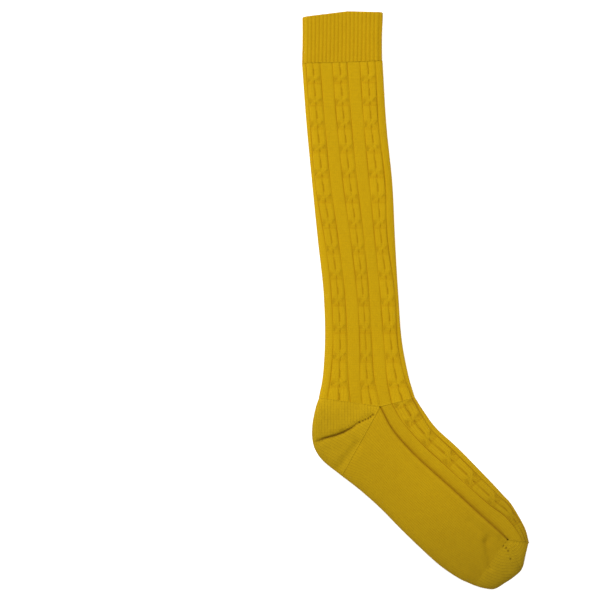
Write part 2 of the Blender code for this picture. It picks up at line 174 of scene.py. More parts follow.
FOOT_ROWS = np.array([
    # course, back (along, across), upper border, front, lower border
    (13.85, 0.083, 0.799, 0.000, 0.000, 0.075, -0.316, -0.039, 0.053),
    (15.00, 0.185, 0.771, 0.108, 0.086, 0.142, -0.275, 0.164, 0.258),
    (16.00, 0.288, 0.761, 0.230, 0.110, 0.222, -0.240, 0.256, 0.270),
    (17.00, 0.396, 0.769, 0.340, 0.104, 0.344, -0.247, 0.370, 0.271),
    (18.00, 0.503, 0.770, 0.454, 0.093, 0.473, -0.238, 0.489, 0.286),
    (19.00, 0.623, 0.759, 0.578, 0.085, 0.594, -0.224, 0.595, 0.305),
    (20.00, 0.723, 0.711, 0.684, 0.075, 0.687, -0.194, 0.680, 0.360),
    (20.40, 0.749, 0.687, 0.712, 0.075, 0.762, -0.134, 0.708, 0.395),
    (20.80, 0.775, 0.662, 0.740, 0.074, 0.812, -0.059, 0.735, 0.430),
])
HEEL_ROWS = np.array([
    # share of the way round the fold, along, across
    (0.20, -0.183, 0.483),
    (0.35, -0.152, 0.608),
    (0.50, -0.114, 0.718),
    (0.65, -0.071, 0.792),
    (0.80, -0.018, 0.821),
])
TOE_ROWS = np.array([
    # share of the way round the fold, along, across
    (0.20, 0.812, 0.612),
    (0.35, 0.844, 0.545),
    (0.50, 0.858, 0.427),
    (0.62, 0.868, 0.304),
    (0.74, 0.868, 0.190),
    (0.87, 0.837, 0.050),
])
GROOVE_ROWS = np.array([
    # course, first cable (start, end) and second start from back to border, third from border to front
    (-1.90, 0.083, 0.405, 0.678, 0.364, 0.793),
    (0.24, 0.081, 0.398, 0.669, 0.360, 0.801),
    (3.17, 0.078, 0.407, 0.678, 0.358, 0.780),
    (5.46, 0.064, 0.405, 0.684, 0.348, 0.801),
    (7.68, 0.145, 0.441, 0.713, 0.352, 0.766),
    (9.81, 0.166, 0.463, 0.736, 0.384, 0.901),
    (11.82, 0.166, 0.478, 0.743, 0.399, 0.864),
    (13.85, 0.134, 0.510, 0.703, 0.330, 0.930),
    (16.00, 0.134, 0.510, 0.703, 0.370, 0.870),
    (18.00, 0.134, 0.510, 0.703, 0.390, 0.860),
    (19.00, 0.134, 0.510, 0.703, 0.440, 0.880),
    (20.80, 0.134, 0.510, 0.703, 0.700, 0.970),
])


def smooth_rows(keys, values, at):
    """Read a smooth curve through rows of values: a cubic between each two keys, with the rows' own slopes."""
    flat = values.reshape(len(keys), -1)
    slopes = np.gradient(flat, keys, axis=0)
    index = np.clip(np.searchsorted(keys, at, side="right") - 1, 0, len(keys) - 2)
    step = (keys[index + 1] - keys[index])[:, None]
    t = (at - keys[index])[:, None] / step
    start = (1 + 2 * t) * (1 - t) ** 2 * flat[index] + t * (1 - t) ** 2 * step * slopes[index]
    end = t ** 2 * (3 - 2 * t) * flat[index + 1] + t ** 2 * (t - 1) * step * slopes[index + 1]
    return (start + end).reshape((len(at),) + values.shape[1:])


def leg_points(rows, drop):
    """Shares of the cuff's width and of a drop, in metres in the model's frame."""
    shares = rows[:, 1:].reshape(len(rows), 4, 2)
    x = (shares[..., 0] - LEG_ROWS[-1, 3]) * CUFF_WIDTH
    y = LEG_DROP - shares[..., 1] * drop
    return np.stack([x, y], axis=-1) + ANKLE_CORNER


def foot_points(shares):
    """Shares along and across the foot, turned by the foot's fall, in metres in the model's frame."""
    along = shares[..., 0] * FOOT_LENGTH
    across = shares[..., 1] * FOOT_WIDTH
    x = along * math.cos(FOOT_FALL) - across * math.sin(FOOT_FALL)
    y = -along * math.sin(FOOT_FALL) - across * math.cos(FOOT_FALL)
    return np.stack([x, y], axis=-1) + ANKLE_CORNER


cuff_lines = leg_points(CUFF_ROWS, CUFF_HEIGHT)
leg_lines = leg_points(LEG_ROWS, LEG_DROP)
foot_lines = foot_points(FOOT_ROWS[:, 1:].reshape(len(FOOT_ROWS), 4, 2))
foot_lines[0, 1:] = leg_lines[-1, 1:]
print("ankle corner:", ANKLE_CORNER, "toe notch:", foot_lines[-1, 2].round(4))

# %% [markdown]
# ## From a flat drawing to a lying tube
#
# Cloth that turns over at a fold is longer than it looks from above. Each ring of the sock is measured
# over the cloth: flat on top, and a quarter of an ellipse down to the folded edge. The knitting's own
# places round the sock are shared out along that distance, so the stitches stay as wide at the fold as
# on top. The lower layer is the mirror of the upper one.

# %% Lay a ring of cloth
def length(vectors):
    """Lengths of a row of vectors."""
    return np.linalg.norm(vectors, axis=-1)


def fold_curve(inset):
    """A quarter ellipse from the folded edge to the flat layer: distance over the cloth, inward, up."""
    turn = np.linspace(0, math.pi / 2, 65)
    inward = (FOLD_REACH - inset) * (1 - np.cos(turn))
    up = (HALF_HEIGHT - inset) * np.sin(turn)
    over = np.concatenate([[0], np.cumsum(np.hypot(np.diff(inward), np.diff(up)))])
    return over, inward, up


def over_cloth(flat, width, curve):
    """Flat distance from the back fold, plus what the curve at each fold adds to it."""
    over, inward, _ = curve
    spare = over[-1] - inward[-1]
    near = np.where(flat < inward[-1], np.interp(flat, inward, over), flat + spare)
    from_front = width - flat
    far = np.where(from_front < inward[-1], np.interp(from_front, inward, over), from_front + spare)
    return np.where(flat < width / 2, near, width + 2 * spare - far)


def flat_and_up(over_distance, width, curve):
    """Distance over the cloth, turned back into flat distance and height over the fold line."""
    over, inward, up = curve
    spare = over[-1] - inward[-1]
    from_front = width + 2 * spare - over_distance
    nearest = np.minimum(over_distance, from_front)
    flat = np.where(nearest < over[-1], np.interp(nearest, over, inward), nearest - spare)
    flat = np.where(over_distance < from_front, flat, width - flat)
    return flat, np.interp(nearest, over, up)


def broken_line(at, keys, values):
    """For each ring, straight stretches through its own rows of keys and values."""
    result = np.repeat(values[:, :1], at.shape[1], axis=1)
    for i in range(keys.shape[1] - 1):
        share = np.clip((at - keys[:, i:i + 1]) / (keys[:, i + 1] - keys[:, i])[:, None], 0, 1)
        result = result + share * (values[:, i + 1] - values[:, i])[:, None]
    return result


def lay(back, corner, front, mark_keys, marks, keys, inset, side):
    """One layer: a flat walk from the back fold by a corner to the front fold, lifted by the fold's curve.

    marks are the flat distances of the knitting's places mark_keys. side is 1 above and -1 below.
    """
    curve = fold_curve(inset)
    width = (length(corner - back) + length(front - corner) - 2 * inset)[:, None]
    over_marks = over_cloth(np.clip(marks - inset, 0, width), width, curve)
    flat, up = flat_and_up(broken_line(keys, mark_keys, over_marks), width, curve)
    distance = flat + inset
    first = length(corner - back)[:, None]
    second = length(front - corner)[:, None]
    near = np.minimum(distance / first, 1)[..., None]
    far = (np.maximum(distance - first, 0) / second)[..., None]
    points = back[:, None] + near * (corner - back)[:, None] + far * (front - corner)[:, None]
    return np.concatenate([points, (LYING_HEIGHT + HALF_HEIGHT + side * up)[..., None]], axis=-1)


print("a fold takes", round((fold_curve(0)[0][-1] - FOLD_REACH) * 1000, 2), "mm of spare cloth")

# %% [markdown]
# ## Round the leg and the foot
#
# A place round the sock is counted in repeats of the pattern. A repeat is one cable of six wales, a purl
# wale, a plain rib of six wales and another purl wale. The upper border is where the third repeat's plain
# rib starts. On the foot the back half is a plain sole, so only its two edges have a place of their own.

# %% Rings of the tube
REPEATS = 6
WALES_PER_REPEAT = 14
SOLE_WALES = 56
COURSES_PER_CROSSING = 16
CABLE_SHARE = 0.54
SOLE_END = CABLE_SHARE + 1
SOLE_START = SOLE_END - REPEATS / 2
FIRST_COURSE = LEG_ROWS[0, 0]
ANKLE_COURSE = LEG_ROWS[-1, 0]
TOE_COURSE = FOOT_ROWS[-1, 0]


def fold_places(lines, grooves, plain_sole):
    """Places of the back fold and the front fold in repeats, ring by ring."""
    sole = length(lines[:, 1] - lines[:, 0])
    hidden = length(lines[:, 3] - lines[:, 0])
    if plain_sole:
        back_place = SOLE_START + (SOLE_END - SOLE_START) * hidden / (hidden + sole)
    else:
        back_place = -grooves[:, 0] * SOLE_END / (1 - grooves[:, 0])
    return back_place, SOLE_END + 1 / grooves[:, 4]


def tube_rings(lines, grooves, places, inset, plain_sole):
    """Whole rings of the flattened tube at the given places: the upper layer, then the lower one."""
    back, border, front, under = [lines[:, i] for i in range(4)]
    sole = length(border - back)
    instep = length(front - border)
    hidden = length(under - back)
    rings = np.ones(len(lines))
    back_place, front_place = fold_places(lines, grooves, plain_sole)
    if plain_sole:
        mark_places = [back_place, SOLE_END * rings]
        marks = [0 * sole, sole]
    else:
        mark_places = [back_place, 0 * rings, CABLE_SHARE * rings, rings, SOLE_END * rings]
        marks = [0 * sole, grooves[:, 0] * sole, grooves[:, 1] * sole, grooves[:, 2] * sole, sole]
    mark_places = np.stack(mark_places + [2 * rings, (SOLE_END + 1) * rings, front_place], axis=1)
    marks += [sole + grooves[:, 3] * instep, sole + grooves[:, 4] * instep, sole + instep]
    marks = np.stack(marks, axis=1)
    lower_places = np.stack([front_place, (SOLE_START + REPEATS) * rings, back_place + REPEATS], axis=1)
    lower_marks = np.stack([hidden + length(front - under), hidden, 0 * sole], axis=1)
    turned = back_place[:, None] + (places - back_place[:, None]) % REPEATS
    upper = lay(back, border, front, mark_places, marks, turned, inset, 1)
    lower = lay(back, under, front, lower_places, lower_marks, turned, inset, -1)
    return np.where((turned < front_place[:, None])[..., None], upper, lower)


def facing(points, closed):
    """Directions in which a grid faces: the cross product of its steps down and round the sock."""
    if closed:
        round_step = np.roll(points, -1, axis=1) - np.roll(points, 1, axis=1)
    else:
        round_step = np.gradient(points, axis=1)
    normal = np.cross(np.gradient(points, axis=0), round_step)
    return normal / np.maximum(length(normal), 1e-12)[..., None]


print("wales round the sock:", REPEATS * WALES_PER_REPEAT)

# %% [markdown]
# ## Soft dents
#
# Cloth that has been worn or packed never lies quite flat. Long soft dents run over the upper layer: along
# the heel's gore, across the sole behind the heel and before the toes. A dent is a straight line with a
# rounded trough over it, which is quicker to place than a simulated fold.

# %% Dents and press
DENTS = np.array([
    # start (along, across), end, width and depth in metres
    (-0.092, 0.740, -0.036, 0.466, 0.0030, 0.0008),
    (-0.036, 0.466, 0.002, 0.118, 0.0026, 0.0007),
    (0.052, 0.760, 0.039, 0.440, 0.0042, 0.0015),
    (0.578, 0.214, 0.679, 0.211, 0.0030, 0.0007),
    (0.679, 0.211, 0.689, 0.244, 0.0032, 0.0008),
    (0.689, 0.244, 0.770, 0.404, 0.0032, 0.0016),
    (0.720, 0.120, 0.752, 0.160, 0.0030, 0.0007),
])


def away_from(points, start, end):
    """Distance in plan from a straight line, and the share of the way along it."""
    run = end - start
    share = np.clip(((points[..., :2] - start) @ run) / (run @ run), 0, 1)
    return length(points[..., :2] - start - share[..., None] * run), share


def upper_share(points):
    """1 on top of the upper layer, falling to 0 at the folds and below them."""
    return np.clip((points[..., 2] - LYING_HEIGHT) / HALF_HEIGHT - 1, 0, 1)


def shape_cloth(points, height, closed):
    """Lift a grid along its facing by the knitting's height, sink the dents and press the underside flat.

    A dent's sinking is its depth times a bell curve of the distance to its line.
    """
    shaped = points + facing(points, closed) * height[..., None]
    sink = np.zeros(points.shape[:-1])
    for row in DENTS:
        start, end = foot_points(row[:4].reshape(2, 2))
        away, _ = away_from(points, start, end)
        sink = sink + row[5] * np.exp(-(away / row[4]) ** 2)
    shaped[..., 2] = np.maximum(shaped[..., 2] - sink * upper_share(points), 0)
    return shaped


print("dents:", len(DENTS))

# %% [markdown]
# ## Painted shade over the foot
#
# The foot is painted a little darker than the leg, most of all at the toe and the sole's edge, where the cloth
# turns down and away from the light. A colour of its own for each piece would leave a step at every join, so
# one smooth function of the place on the foot gives the painted shade of all of them, and each point keeps it as
# an attribute.

# %% Painted shade of a point
FOOT_SHADE_AT_BORDER = 0.025
FOOT_SHADE_AT_SOLE = 0.11
FOOT_SHADE_RAMPS = [
    # start and end along the foot, loss of brightness
    (0.30, 0.75, 0.085),
    (0.75, 0.88, 0.120),
]
FADE_START = -0.076
FADE_END = -0.118
SCREEN_GAMMA = 2.2


def painted_foot_shade(points):
    """How much darker painted shade makes the yarn over the foot, from 0 to 1: a sum of ramps along and across the
    foot.

    The leg keeps its full brightness. Below the ankle the painted shade deepens towards the sole's edge and the
    toe.
    """
    from_ankle = points[..., :2] - ANKLE_CORNER
    along = (from_ankle @ [math.cos(FOOT_FALL), -math.sin(FOOT_FALL)]) / FOOT_LENGTH
    across = (from_ankle @ [-math.sin(FOOT_FALL), -math.cos(FOOT_FALL)]) / FOOT_WIDTH
    drop = FOOT_SHADE_AT_BORDER + FOOT_SHADE_AT_SOLE * np.clip(across, 0, 1)
    for start, end, depth in FOOT_SHADE_RAMPS:
        share = np.clip((along - start) / (end - start), 0, 1)
        drop = drop + depth * share ** 2 * (3 - 2 * share)
    below = np.clip((FADE_START - points[..., 1]) / (FADE_START - FADE_END), 0, 1)
    return 1 - (1 - drop * below ** 2 * (3 - 2 * below)) ** SCREEN_GAMMA


print("tone at the ankle corner:", round(float(painted_foot_shade(ANKLE_CORNER)), 3))

# %% [markdown]
# ## The cables
#
# A cable is six wales in two strands of three. Every sixteen courses the strand on one side is taken in
# front of the other, and they change places. Between the crossings they lie side by side with a deep line
# between them. Each strand is a rounded ridge whose centre moves across the panel on a quarter of a sine
# wave, the front one raised and the back one sunk, and the cloth is the higher of the two.

# %% Height of the pattern
CABLE_RISE = 0.0004
GROOVE_DEPTH = 0.0005
RIB_CROWN = 0.0002
PANEL_EDGE = 0.03
CROSSING_SHARE = 0.2
STRAND_LIFT = 0.12
PULL_SINK = 0.35
TROUGH_WIDTH = 0.018
PANEL_COLUMNS = 24
PURL_COLUMNS = 4
SAME_PLACE = 1e-6


def cable_strands(place, course):
    """Height, painted shade from 0 to 1 over a cable panel, and the wale counted across its two strands.

    turn is 0 at a crossing, -1 where it begins and 1 where it ends. Each strand is a power curve across.
    The painted shade lies on the line between the strands, the pulled stitches and the level line after a
    crossing.
    """
    turn = (course - np.round(course)) / CROSSING_SHARE
    since = (course - 1 - CROSSING_SHARE) % 1
    swing = np.sin(np.clip(turn, -1, 1) * math.pi / 2)
    middle = np.cos(np.clip(turn, -1, 1) * math.pi / 2)
    front = (place - 0.5 + 0.25 * swing) / 0.25
    behind = (place - 0.5 - 0.25 * swing) / 0.25
    front_height = np.clip(1 - np.abs(front) ** 3, 0, 1) * (1 + STRAND_LIFT * middle)
    behind_height = np.clip(1 - np.abs(behind) ** 3, 0, 1) * (1 - STRAND_LIFT * middle)
    pull = np.exp(-((turn - 0.75) / 0.35) ** 2)
    wale = 1.5 + 1.5 * np.where(front_height > behind_height, front, behind)
    height = np.maximum(front_height, behind_height) * (1 - PULL_SINK * pull)
    between = np.exp(-((place - 0.5) / 0.055) ** 2)
    line = between * np.where(np.abs(turn) > 1, 0.25 + 0.6 * since / (1 - 2 * CROSSING_SHARE), 0)
    stem = between * 0.9 * np.exp(-((turn - 0.65) / 0.40) ** 2)
    level = 0.45 * np.exp(-((turn - 1.05) / 0.16) ** 2)
    edge = 0.35 * middle * np.clip(1 - np.maximum(front_height, behind_height), 0, 1)
    painted_shade = np.maximum(np.maximum(line, stem), np.maximum(level, edge))
    return height, np.maximum(painted_shade, 0.22 * pull), wale


def pattern(places, courses):
    """Height in metres, painted shade from 0 to 1 and wale number of the cabled cloth.

    A narrow trough lies along each purl wale, and the plain rib between two of them is slightly crowned.
    """
    repeat = np.floor(places + PANEL_EDGE)
    share = places - repeat
    in_cable = np.clip((share - PANEL_EDGE) / (CABLE_SHARE - 2 * PANEL_EDGE), 0, 1)
    in_rib = np.clip((share - CABLE_SHARE - PANEL_EDGE) / (1 - CABLE_SHARE - 2 * PANEL_EDGE), 0, 1)
    strands, strand_dark, strand_wale = cable_strands(in_cable, courses[:, None])
    from_groove = np.minimum(np.abs(share), np.minimum(np.abs(share - CABLE_SHARE), np.abs(share - 1)))
    waver = 0.72 + 0.28 * np.sin(2.1 * courses[:, None] + 2.4 * repeat + 9 * share)
    trough = np.exp(-(from_groove / TROUGH_WIDTH) ** 2)
    crown = 1 - (2 * in_rib - 1) ** 4
    cable = (share > PANEL_EDGE) & (share < CABLE_SHARE - PANEL_EDGE)
    height = np.where(cable, strands * CABLE_RISE, crown * RIB_CROWN) - trough * GROOVE_DEPTH * waver
    # Painted shade: the purl troughs, and the cables' own painted shade.
    painted_shade = np.maximum(trough * waver, np.where(cable, strand_dark, 0))
    stops = [-PANEL_EDGE, PANEL_EDGE, CABLE_SHARE - PANEL_EDGE, CABLE_SHARE + PANEL_EDGE, 1 - PANEL_EDGE]
    wale = np.interp(share, stops, [-0.5, 0.5, 6.5, 7.5, 13.5])
    wale = np.where(cable, 0.5 + strand_wale, wale) + WALES_PER_REPEAT * repeat
    return height, painted_shade, wale


def pattern_places(first, repeats):
    """Places of the grid's columns: four to a wale in the cable and the rib, four to a purl wale."""
    cable = np.linspace(PANEL_EDGE, CABLE_SHARE - PANEL_EDGE, PANEL_COLUMNS, endpoint=False)
    purl = CABLE_SHARE + np.linspace(-PANEL_EDGE, PANEL_EDGE, PURL_COLUMNS, endpoint=False)
    rib = np.linspace(CABLE_SHARE + PANEL_EDGE, 1 - PANEL_EDGE, PANEL_COLUMNS, endpoint=False)
    next_purl = 1 + np.linspace(-PANEL_EDGE, PANEL_EDGE, PURL_COLUMNS, endpoint=False)
    one = np.concatenate([cable, purl, rib, next_purl])
    every = (np.arange(-1, REPEATS + 1)[:, None] + one[None, :]).ravel()
    return every[(every > first - SAME_PLACE) & (every < first + repeats - SAME_PLACE)]


print("columns round the leg:", len(pattern_places(SOLE_START, REPEATS)))

# %% [markdown]
# ## From grids to a knitted wall
#
# Each piece is a closed wall: the knitted outside, a smooth inside, and a rim that joins them. One helper
# makes the faces of any grid, and another joins the grids. The wale and course numbers go into a UV map,
# so the yarn's stitches follow the cloth round every bend, and the painted shade goes into an attribute.

# %% Build one wall
COURSE_HEIGHT = 0.00145


def grid_faces(index, uv, turned):
    """Four corners for each cell of a grid of vertex numbers, with the same corners of its UV grid."""
    cell = (slice(None, -1), slice(None, -1)), (slice(None, -1), slice(1, None))
    cell = cell + ((slice(1, None), slice(1, None)), (slice(1, None), slice(None, -1)))
    order = cell if turned else cell[::-1]
    faces = np.stack([index[c].ravel() for c in order], axis=-1)
    corners = np.stack([uv[c].reshape(-1, 2) for c in order], axis=1)
    return faces, corners


def knitted_wall(name, outer, inner, uv, painted_shade, closed):
    """Join an outside and an inside grid into one closed wall. uv has one column more on a closed ring."""
    rows, columns = outer.shape[:2]
    index = np.arange(rows * columns).reshape(rows, columns)
    inner_index = np.arange(inner.shape[0] * columns).reshape(inner.shape[0], columns) + rows * columns
    if closed:
        index = np.concatenate([index, index[:, :1]], axis=1)
        inner_index = np.concatenate([inner_index, inner_index[:, :1]], axis=1)
    inner_uv = uv[np.linspace(0, rows - 1, inner.shape[0]).round().astype(int)]
    parts = [grid_faces(index, uv, False), grid_faces(inner_index, inner_uv, True)]
    for end, turned in ((0, True), (-1, False)):
        rim = np.stack([index[end], inner_index[end]])
        parts.append(grid_faces(rim, np.stack([uv[end], uv[end]]), not turned))
    if not closed:
        for side, turned in ((0, True), (-1, False)):
            rim = np.stack([index[:, side], inner_index[:, side]], axis=1)
            rim_uv = np.stack([uv[:, side], uv[:, side]], axis=1)
            parts.append(grid_faces(rim, rim_uv, not turned))
    faces = np.concatenate([part[0] for part in parts])
    corners = np.concatenate([part[1] for part in parts])
    mesh = bpy.data.meshes.new(name)
    points = np.concatenate([outer.reshape(-1, 3), inner.reshape(-1, 3)])
    mesh.from_pydata(points.tolist(), [], faces.tolist())
    layer = mesh.uv_layers.new(name="stitches")
    layer.data.foreach_set("uv", corners.astype(np.float32).ravel())
    # Painted shade of grooves, hollows and eyelets, kept on the outside's points; the inside gets none.
    shade = mesh.attributes.new("painted_shade", "FLOAT", "POINT")
    every_dark = np.concatenate([painted_shade.ravel(), np.zeros(inner.shape[:2]).ravel()])
    shade.data.foreach_set("value", every_dark.astype(np.float32))
    # Painted shade over the foot, darker towards the toe and the sole's edge.
    foot_shade = mesh.attributes.new("painted_foot_shade", "FLOAT", "POINT")
    foot_shade.data.foreach_set("value", painted_foot_shade(points).astype(np.float32))
    wall_faces = len(parts[0][0]) + len(parts[1][0])
    mesh.polygons.foreach_set("use_smooth", np.arange(len(faces)) < wall_faces)
    piece = bpy.data.objects.new(name, mesh)
    bpy.context.scene.collection.objects.link(piece)
    print(name, "faces:", len(faces), "outside rows and columns:", rows, columns)
    return piece


def cloth_area(points, closed):
    """Area of a grid of points: half the cross product of the two diagonals of each cell, added up."""
    if closed:
        points = np.concatenate([points, points[:, :1]], axis=1)
    first = points[1:, 1:] - points[:-1, :-1]
    second = points[1:, :-1] - points[:-1, 1:]
    return length(np.cross(first, second)).sum() / 2


def cut_size(points, closed):
    """The widest ring and the longest line down a grid, as the flat size of the knitted piece."""
    ring = np.concatenate([points, points[:, :1]], axis=1) if closed else points
    down = length(np.diff(points, axis=0)).sum(axis=0)
    return length(np.diff(ring, axis=1)).sum(axis=1).max(), down.max()


# %% [markdown]
# ## The leg
#
# The leg is the long cabled tube. Its rings run level from the cuff to the ankle, and its columns follow
# the wales, so no line of the pattern is cut by the grid.

# %% Knit the leg
LEG_RINGS = 270
INNER_RINGS = 28
CROSSING_RUN = 0.0230
gap_in_courses = PIECE_GAP / 2 / CROSSING_RUN


def knit_tube(name, lines_keys, lines, courses, inner_courses, places, plain_sole, relief):
    """A tube between two courses: smooth rings, lifted by a relief of height, darkness and wale number."""
    grids = []
    for at, inset in ((courses, 0), (inner_courses, WALL)):
        rings = smooth_rows(lines_keys, lines, at)
        grooves = smooth_rows(GROOVE_ROWS[:, 0], GROOVE_ROWS[:, 1:], at)
        every_place = np.repeat(places[None, :], len(at), axis=0)
        grids.append(tube_rings(rings, grooves, every_place, inset, plain_sole))
    height, painted_shade, wale = relief(places[None, :] + 0 * courses[:, None], courses)
    wale = np.concatenate([wale, wale[:, :1] + REPEATS * WALES_PER_REPEAT], axis=1)
    uv = np.stack([wale, COURSES_PER_CROSSING * courses[:, None] + 0 * wale], axis=-1)
    cut_size(grids[0], True)
    cloth_area(grids[0], True)
    inside = shape_cloth(grids[1], np.zeros(grids[1].shape[:2]), True)
    return knitted_wall(name, shape_cloth(grids[0], height, True), inside, uv, painted_shade, True)


leg_courses = np.linspace(FIRST_COURSE + gap_in_courses, ANKLE_COURSE - gap_in_courses, LEG_RINGS)
leg_inner = np.linspace(leg_courses[0], leg_courses[-1], INNER_RINGS)
leg = knit_tube(
    "leg_knit", LEG_ROWS[:, 0], leg_lines, leg_courses, leg_inner,
    pattern_places(SOLE_START, REPEATS), False, pattern,
)

# %% [markdown]
# ## The cuff
#
# The cuff is one-by-one rib: a knit wale that stands up, then a purl wale that sinks, forty-two of each.
# Two grid columns to a wale would look like folded paper, so each has six. The top edge is bound off and
# rolls slightly inwards.

# %% Knit the cuff
RIB_RISE = 0.00035
CUFF_RINGS = 120
CUFF_INNER_RINGS = 8
COLUMNS_PER_WALE = 6
EDGE_ROLL = 0.0012
EDGE_DIP = 0.0007
CUFF_COURSE = 0.0220


def cuff_relief(places, courses):
    """Each rib is a rounded ridge, a power of a cosine over one knit and one purl wale, low at the rolled edge."""
    wave = 0.5 + 0.5 * np.cos(math.pi * WALES_PER_REPEAT * places)
    ridge = wave ** 0.7
    from_edge = np.clip((courses[:, None] - courses[0]) * CUFF_COURSE / EDGE_ROLL, 0, 1)
    roll = 1 - np.sqrt(1 - (1 - from_edge) ** 2)
    height = RIB_RISE * (ridge - 0.75) - EDGE_DIP * roll
    # Painted shade in the purl wales between the ridges.
    painted_shade = 0.60 * (1 - ridge) ** 2.2
    return height, painted_shade, WALES_PER_REPEAT * places + 0.5


cuff_courses = np.linspace(CUFF_ROWS[0, 0], FIRST_COURSE - gap_in_courses, CUFF_RINGS)
cuff_inner = np.linspace(cuff_courses[0], cuff_courses[-1], CUFF_INNER_RINGS)
columns_in_repeat = WALES_PER_REPEAT * COLUMNS_PER_WALE
cuff_places = SOLE_START + np.arange(REPEATS * columns_in_repeat) / columns_in_repeat
cuff = knit_tube(
    "cuff_rib", CUFF_ROWS[:, 0], cuff_lines, cuff_courses, cuff_inner, cuff_places, False, cuff_relief,
)

# %% [markdown]
# ## The foot
#
# The foot carries the cables on over the instep, and its sole is plain. The two meet in one purl wale,
# the deepest line of the sock. The plain rib beside it leans over: it is low next to the line and high on
# its far side, and the edge of the sole stands up against it.

# %% Knit the foot
FOOT_RINGS = 170
FOOT_INNER_RINGS = 70
BORDER_DEPTH = 0.0007
RIB_LEAN = 0.0011
SOLE_BEAD = 0.0006
SOLE_COLUMNS = 168
LEAN_START = 2.5
LEAN_MIDDLE = 0.45
BORDER_WIDTH = 0.030


def foot_relief(places, courses):
    """The cabled pattern over the instep with a sloping rib, and a plain sole with a bead along its edge."""
    height, painted_shade, wale = pattern(places, courses)
    turned = SOLE_START + (places - SOLE_START) % REPEATS
    sole = turned < SOLE_END - SAME_PLACE
    come = np.clip((courses[:, None] - ANKLE_COURSE) / LEAN_START, 0, 1)
    come = come * np.clip(TOE_COURSE - courses[:, None], 0, 1)
    across_rib = (turned - SOLE_END) / (1 - CABLE_SHARE)
    on_rib = (across_rib > 0) & (across_rib < 1)
    lean = np.where(on_rib, across_rib - LEAN_MIDDLE, 0) * RIB_LEAN * come
    shadow = np.where(on_rib, np.clip(LEAN_MIDDLE - across_rib, 0, 1), 0) * come
    wales_in = (SOLE_END - turned) * SOLE_WALES / 3
    bead = SOLE_BEAD * np.exp(-((wales_in - 2.2) / 1.5) ** 2)
    border = np.zeros(turned.shape)
    for line in (SOLE_END, SOLE_END + REPEATS / 2, SOLE_START):
        border = np.maximum(border, np.exp(-((turned - line) / BORDER_WIDTH) ** 2))
    height = np.where(sole, bead, height + lean) - BORDER_DEPTH * border
    # Painted shade on the low side of the leaning rib and along the purl lines where sole and instep meet.
    painted_shade = np.maximum(np.where(sole, 0, np.maximum(painted_shade, shadow)), border)
    wale = np.where(sole, (turned - SOLE_START) * SOLE_WALES / 3, wale)
    return height, painted_shade, wale


foot_courses = np.linspace(ANKLE_COURSE + gap_in_courses, TOE_COURSE - gap_in_courses, FOOT_RINGS)
foot_inner = np.linspace(foot_courses[0], foot_courses[-1], FOOT_INNER_RINGS)
sole_places = np.linspace(SOLE_START, SOLE_END, SOLE_COLUMNS, endpoint=False)
foot_places = np.concatenate([sole_places, pattern_places(SOLE_END, REPEATS / 2)])
foot = knit_tube(
    "foot_knit", FOOT_ROWS[:, 0], foot_lines, foot_courses, foot_inner, foot_places, True, foot_relief,
)

# %% [markdown]
# ## The heel and the toe
#
# Each is a pocket worked in short rows, so its rings fan out from one corner on each side round the fold.
# The wales run straight into the gore, the slanting line where the short rows turn, and leave it again in
# the new direction. The gore draws in to a narrow line, and small eyelets carry it on to the corner. The
# stitch numbers are worked out from distances in the flat drawing, not from the fan, so they stay even.

# %% Rings of a pocket
POCKET_COLUMNS = 168
WALE_WIDTH = 0.0026
CORNER_CUT = 0.0012


def pocket_corner(corner, first, last):
    """Draw a pocket's corner in along the middle of its two edges, to keep half a gap from both."""
    to_first = (first - corner) / length(first - corner)
    to_last = (last - corner) / length(last - corner)
    middle = to_first + to_last
    sine = math.sqrt((1 - to_first @ to_last) / 2)
    return corner + middle / length(middle) * PIECE_GAP / 2 / sine


def pocket_rings(back, upper_corner, lower_corner, inset, shares):
    """Rings from the lower corner round the fold to the upper corner, at even shares of their flat length."""
    upper = length(upper_corner - back)
    lower = length(lower_corner - back)
    fold_share = lower / (lower + upper)
    places = np.repeat(shares[None, :], len(back), axis=0)
    upper_places = np.stack([fold_share, np.ones(len(back))], axis=1)
    upper_marks = np.stack([0 * upper, upper - CORNER_CUT], axis=1)
    lower_places = np.stack([np.zeros(len(back)), fold_share], axis=1)
    lower_marks = np.stack([lower - CORNER_CUT, 0 * lower], axis=1)
    beyond_upper = 2 * upper_corner - back
    beyond_lower = 2 * lower_corner - back
    above = lay(back, upper_corner + 0 * back, beyond_upper, upper_places, upper_marks, places, inset, 1)
    below = lay(back, lower_corner + 0 * back, beyond_lower, lower_places, lower_marks, places, inset, -1)
    return np.where((places > fold_share[:, None])[..., None], above, below)


def pocket_stitches(back, corner, under, shares, first_way, last_way, straight):
    """Wale and course numbers of a pocket from distances in the flat drawing.

    The distance from the corner, times the larger cosine to the two ways across the wales, counts the wales,
    and the distance along the wales counts the courses. Where straight is False the wales are arcs.
    """
    upper = length(corner - back)
    lower = length(under - back)
    fold_share = (lower / (lower + upper))[:, None]
    ray = (back - corner) / upper[:, None]
    across = np.maximum(ray @ first_way, ray @ last_way) if straight else np.ones(len(back))
    early = ray @ first_way > ray @ last_way
    turned_first = np.array([first_way[1], -first_way[0]])
    turned_last = np.array([last_way[1], -last_way[0]])
    down = np.where(early, ray @ turned_first, ray @ turned_last)
    from_upper = np.clip((1 - shares) / (1 - fold_share), 0, 1) * upper[:, None]
    from_lower = np.clip(shares / fold_share, 0, 1)
    at_fold = (upper * across)[:, None] / WALE_WIDTH
    above = from_upper * across[:, None] / WALE_WIDTH
    below = SOLE_WALES - (SOLE_WALES - at_fold) * from_lower
    wale = np.where(shares > fold_share, above, below)
    course = np.where(shares > fold_share, from_upper, from_lower * upper[:, None]) * down[:, None] / COURSE_HEIGHT
    return np.stack([wale, -course], axis=-1)


